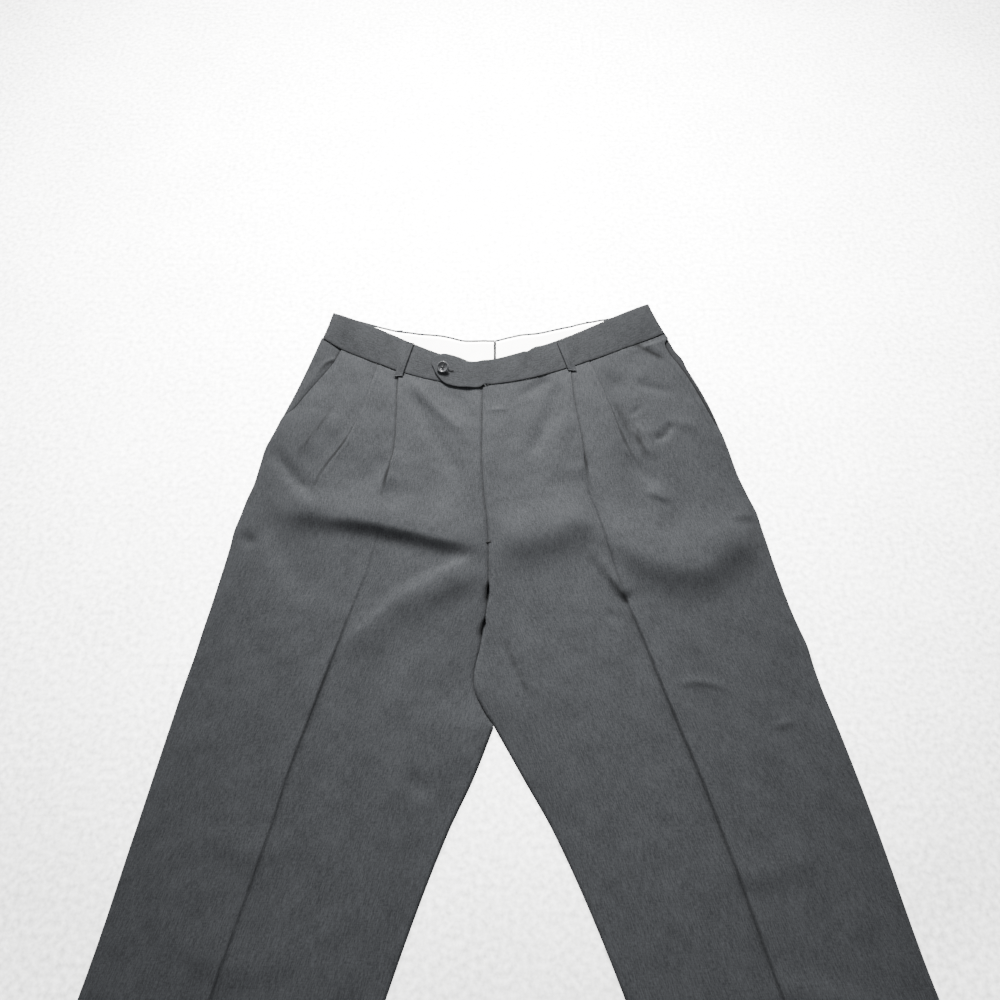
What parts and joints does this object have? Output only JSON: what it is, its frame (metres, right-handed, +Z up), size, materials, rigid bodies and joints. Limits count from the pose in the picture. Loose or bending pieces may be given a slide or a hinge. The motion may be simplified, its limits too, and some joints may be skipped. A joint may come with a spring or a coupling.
{
  "type": "pleated dress trousers lying flat",
  "caption": "Pleated dress trousers in grey worsted lying flat, front up, with a fastened extension tab, slant pockets, pressed creases and open hems.",
  "frame": {"origin": "middle of the underside's bounding box, on the surface that the trousers lie on", "axes": "+Z up out of the front, +Y up the garment from the hems to the waist, +X to the wearer's left"},
  "size_m": [0.9402, 1.1908, 0.026],
  "materials": {
    "worsted": "charcoal heather worsted wool, plain weave, matt with a faint sheen",
    "band_lining": "white cotton twill waistband lining, matt",
    "button": "dark grey polished polyester button"
  },
  "bodies": {
    "root": {"front_right": "worsted", "front_left": "worsted", "back_right": "worsted", "back_left": "worsted", "waistband_right": "worsted", "waistband_left": "worsted", "pocket_facing_right": "worsted", "pocket_facing_left": "worsted", "front_loop_right": "worsted", "front_loop_left": "worsted", "back_loop_right": "worsted", "back_loop_left": "worsted", "back_loop_centre": "worsted", "waistband_lining_right": "band_lining", "waistband_lining_left": "band_lining", "fly_button": "button"}
  },
  "joints": []
}
